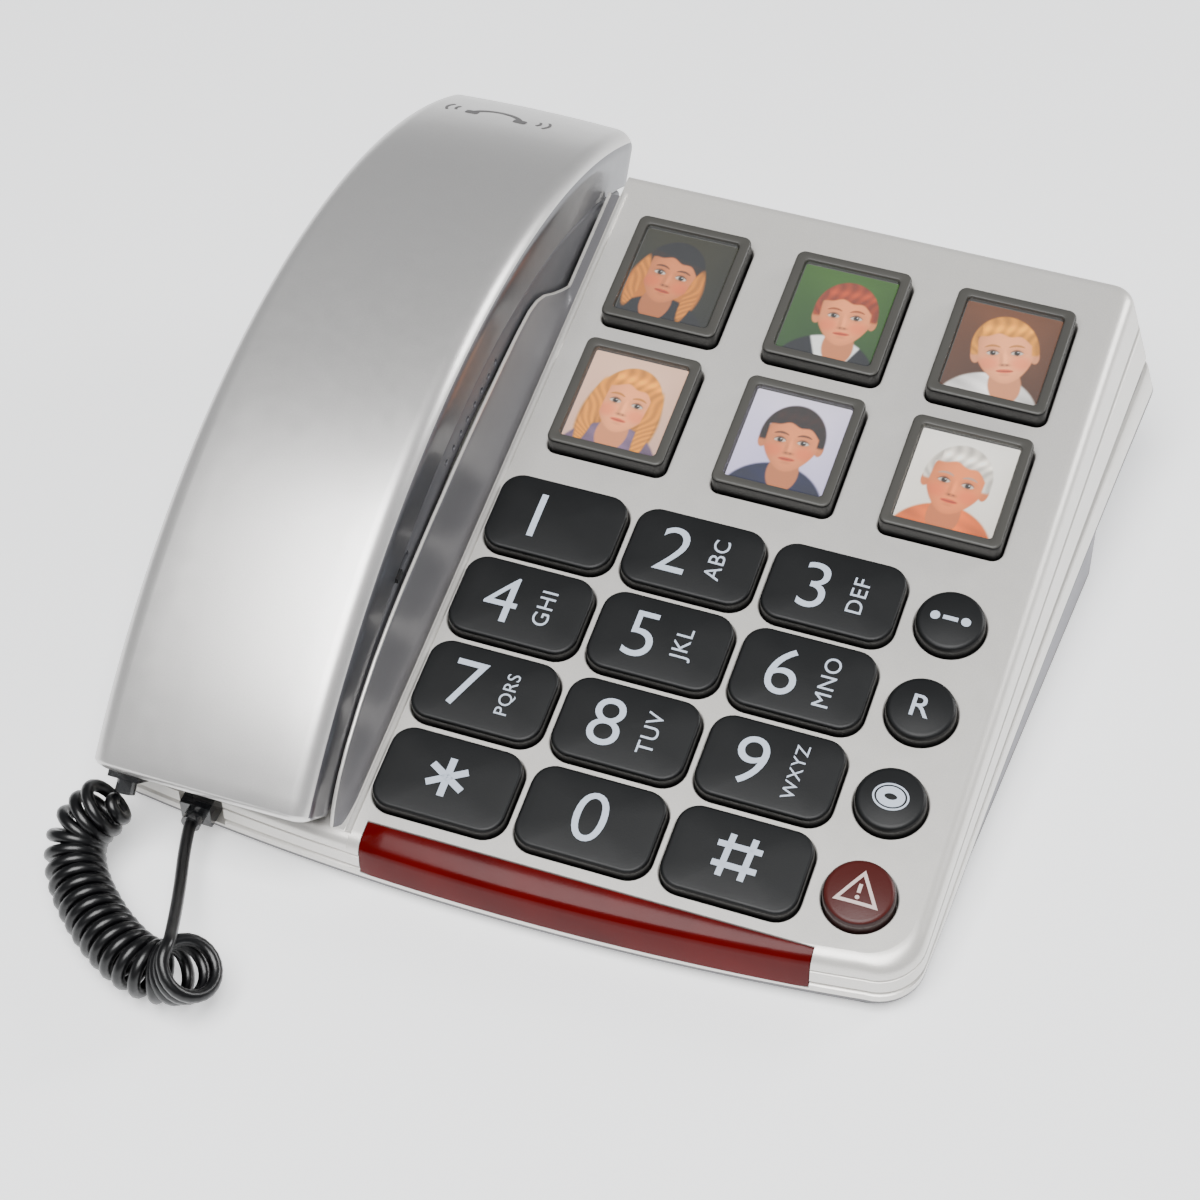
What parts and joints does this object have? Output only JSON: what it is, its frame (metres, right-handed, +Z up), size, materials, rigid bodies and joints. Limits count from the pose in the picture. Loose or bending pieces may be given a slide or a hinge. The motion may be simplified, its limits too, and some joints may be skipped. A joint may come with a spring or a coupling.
{
  "type": "corded desk telephone",
  "caption": "Corded desk telephone with big number keys, picture memory keys, a red alert light bar and an arched handset on a curly cord.",
  "frame": {"origin": "under the middle of the telephone, on the surface it stands on; the free cord isn't counted", "axes": "+Z up, -Y towards the user, +X to the user's right; the handset lies along Y on the left"},
  "size_m": [0.2067, 0.2635, 0.0832],
  "materials": {
    "silver_plastic": "fine satin silver paint on moulded plastic",
    "grey_plastic": "satin moulded plastic",
    "key_plastic": "fine matte moulded keys with pale numerals",
    "alert_key": "satin dark red",
    "bezel_plastic": "satin charcoal",
    "clear_cover": "clear glossy acrylic",
    "red_lens": "deep red translucent lens",
    "black_plastic": "black moulded plastic",
    "clear_plug": "smoky clear plug",
    "cord_black": "flexible glossy cord jacket",
    "foot_rubber": "soft rubber",
    "mat_rubber": "silicone rubber",
    "board_green": "solder mask",
    "steel": "zinc plated",
    "weight_iron": "rough"
  },
  "bodies": {
    "base": {"base_upper_housing": "silver_plastic", "base_lower_housing": "grey_plastic", "housing_screws": "steel", "rubber_feet": "foot_rubber", "alert_light_lens": "red_lens", "alert_light_leds": "board_green", "main_circuit_board": "board_green", "board_screws": "steel", "keypad_mat": "mat_rubber", "ringer_speaker": "black_plastic", "hook_switch": "black_plastic", "base_handset_jack": "black_plastic", "line_jack": "black_plastic", "curly_cord": "cord_black", "cord_tail": "cord_black", "base_plug": "clear_plug"},
    "handset": {"handset_upper_shell": "silver_plastic", "handset_lower_shell": "grey_plastic", "earpiece_speaker": "black_plastic", "microphone_capsule": "steel", "handset_weight": "weight_iron", "handset_jack": "black_plastic", "handset_screws": "steel", "handset_plug": "clear_plug"},
    "hook": {"hook_plunger": "grey_plastic"},
    "volume": {"volume_slider": "black_plastic"},
    "key_1": {"key_1": "key_plastic"},
    "key_2": {"key_2": "key_plastic"},
    "key_3": {"key_3": "key_plastic"},
    "key_4": {"key_4": "key_plastic"},
    "key_5": {"key_5": "key_plastic"},
    "key_6": {"key_6": "key_plastic"},
    "key_7": {"key_7": "key_plastic"},
    "key_8": {"key_8": "key_plastic"},
    "key_9": {"key_9": "key_plastic"},
    "key_star": {"key_star": "key_plastic"},
    "key_0": {"key_0": "key_plastic"},
    "key_hash": {"key_hash": "key_plastic"},
    "button_redial": {"button_redial": "key_plastic"},
    "button_recall": {"button_recall": "key_plastic"},
    "button_memory": {"button_memory": "key_plastic"},
    "button_alert": {"button_alert": "alert_key"},
    "picture_1": {"picture_key_1": "bezel_plastic", "picture_cover_1": "clear_cover"},
    "picture_2": {"picture_key_2": "bezel_plastic", "picture_cover_2": "clear_cover"},
    "picture_3": {"picture_key_3": "bezel_plastic", "picture_cover_3": "clear_cover"},
    "picture_4": {"picture_key_4": "bezel_plastic", "picture_cover_4": "clear_cover"},
    "picture_5": {"picture_key_5": "bezel_plastic", "picture_cover_5": "clear_cover"},
    "picture_6": {"picture_key_6": "bezel_plastic", "picture_cover_6": "clear_cover"}
  },
  "joints": [
    {"name": "handset_lift", "type": "slide", "parent": "base", "child": "handset", "axis": [0, 0, 1], "range_m": [0, 0.06]},
    {"name": "hook_rise", "type": "slide", "parent": "base", "child": "hook", "axis": [0, 0, 1], "range_m": [0, 0.003]},
    {"name": "volume_slide", "type": "slide", "parent": "handset", "child": "volume", "axis": [0, 0.9912, 0.1323], "range_m": [0, 0.004]},
    {"name": "press_key_1", "type": "slide", "parent": "base", "child": "key_1", "axis": [0, 0.2079, -0.9781], "range_m": [0, 0.0015], "stiffness_N_per_m": 450, "springref_m": -0.001},
    {"name": "press_key_2", "type": "slide", "parent": "base", "child": "key_2", "axis": [0, 0.2079, -0.9781], "range_m": [0, 0.0015], "stiffness_N_per_m": 450, "springref_m": -0.001},
    {"name": "press_key_3", "type": "slide", "parent": "base", "child": "key_3", "axis": [0, 0.2079, -0.9781], "range_m": [0, 0.0015], "stiffness_N_per_m": 450, "springref_m": -0.001},
    {"name": "press_key_4", "type": "slide", "parent": "base", "child": "key_4", "axis": [0, 0.2079, -0.9781], "range_m": [0, 0.0015], "stiffness_N_per_m": 450, "springref_m": -0.001},
    {"name": "press_key_5", "type": "slide", "parent": "base", "child": "key_5", "axis": [0, 0.2079, -0.9781], "range_m": [0, 0.0015], "stiffness_N_per_m": 450, "springref_m": -0.001},
    {"name": "press_key_6", "type": "slide", "parent": "base", "child": "key_6", "axis": [0, 0.2079, -0.9781], "range_m": [0, 0.0015], "stiffness_N_per_m": 450, "springref_m": -0.001},
    {"name": "press_key_7", "type": "slide", "parent": "base", "child": "key_7", "axis": [0, 0.2079, -0.9781], "range_m": [0, 0.0015], "stiffness_N_per_m": 450, "springref_m": -0.001},
    {"name": "press_key_8", "type": "slide", "parent": "base", "child": "key_8", "axis": [0, 0.2079, -0.9781], "range_m": [0, 0.0015], "stiffness_N_per_m": 450, "springref_m": -0.001},
    {"name": "press_key_9", "type": "slide", "parent": "base", "child": "key_9", "axis": [0, 0.2079, -0.9781], "range_m": [0, 0.0015], "stiffness_N_per_m": 450, "springref_m": -0.001},
    {"name": "press_key_star", "type": "slide", "parent": "base", "child": "key_star", "axis": [0, 0.2079, -0.9781], "range_m": [0, 0.0015], "stiffness_N_per_m": 450, "springref_m": -0.001},
    {"name": "press_key_0", "type": "slide", "parent": "base", "child": "key_0", "axis": [0, 0.2079, -0.9781], "range_m": [0, 0.0015], "stiffness_N_per_m": 450, "springref_m": -0.001},
    {"name": "press_key_hash", "type": "slide", "parent": "base", "child": "key_hash", "axis": [0, 0.2079, -0.9781], "range_m": [0, 0.0015], "stiffness_N_per_m": 450, "springref_m": -0.001},
    {"name": "press_button_redial", "type": "slide", "parent": "base", "child": "button_redial", "axis": [0, 0.2079, -0.9781], "range_m": [0, 0.0015], "stiffness_N_per_m": 400, "springref_m": -0.001},
    {"name": "press_button_recall", "type": "slide", "parent": "base", "child": "button_recall", "axis": [0, 0.2079, -0.9781], "range_m": [0, 0.0015], "stiffness_N_per_m": 400, "springref_m": -0.001},
    {"name": "press_button_memory", "type": "slide", "parent": "base", "child": "button_memory", "axis": [0, 0.2079, -0.9781], "range_m": [0, 0.0015], "stiffness_N_per_m": 400, "springref_m": -0.001},
    {"name": "press_button_alert", "type": "slide", "parent": "base", "child": "button_alert", "axis": [0, 0.2079, -0.9781], "range_m": [0, 0.0015], "stiffness_N_per_m": 400, "springref_m": -0.001},
    {"name": "press_picture_1", "type": "slide", "parent": "base", "child": "picture_1", "axis": [0, 0.2079, -0.9781], "range_m": [0, 0.0015], "stiffness_N_per_m": 500, "springref_m": -0.001},
    {"name": "press_picture_2", "type": "slide", "parent": "base", "child": "picture_2", "axis": [0, 0.2079, -0.9781], "range_m": [0, 0.0015], "stiffness_N_per_m": 500, "springref_m": -0.001},
    {"name": "press_picture_3", "type": "slide", "parent": "base", "child": "picture_3", "axis": [0, 0.2079, -0.9781], "range_m": [0, 0.0015], "stiffness_N_per_m": 500, "springref_m": -0.001},
    {"name": "press_picture_4", "type": "slide", "parent": "base", "child": "picture_4", "axis": [0, 0.2079, -0.9781], "range_m": [0, 0.0015], "stiffness_N_per_m": 500, "springref_m": -0.001},
    {"name": "press_picture_5", "type": "slide", "parent": "base", "child": "picture_5", "axis": [0, 0.2079, -0.9781], "range_m": [0, 0.0015], "stiffness_N_per_m": 500, "springref_m": -0.001},
    {"name": "press_picture_6", "type": "slide", "parent": "base", "child": "picture_6", "axis": [0, 0.2079, -0.9781], "range_m": [0, 0.0015], "stiffness_N_per_m": 500, "springref_m": -0.001}
  ],
  "couplings": [
    {"joint": "hook_rise", "follows": "handset_lift", "ratio": 0.05}
  ]
}
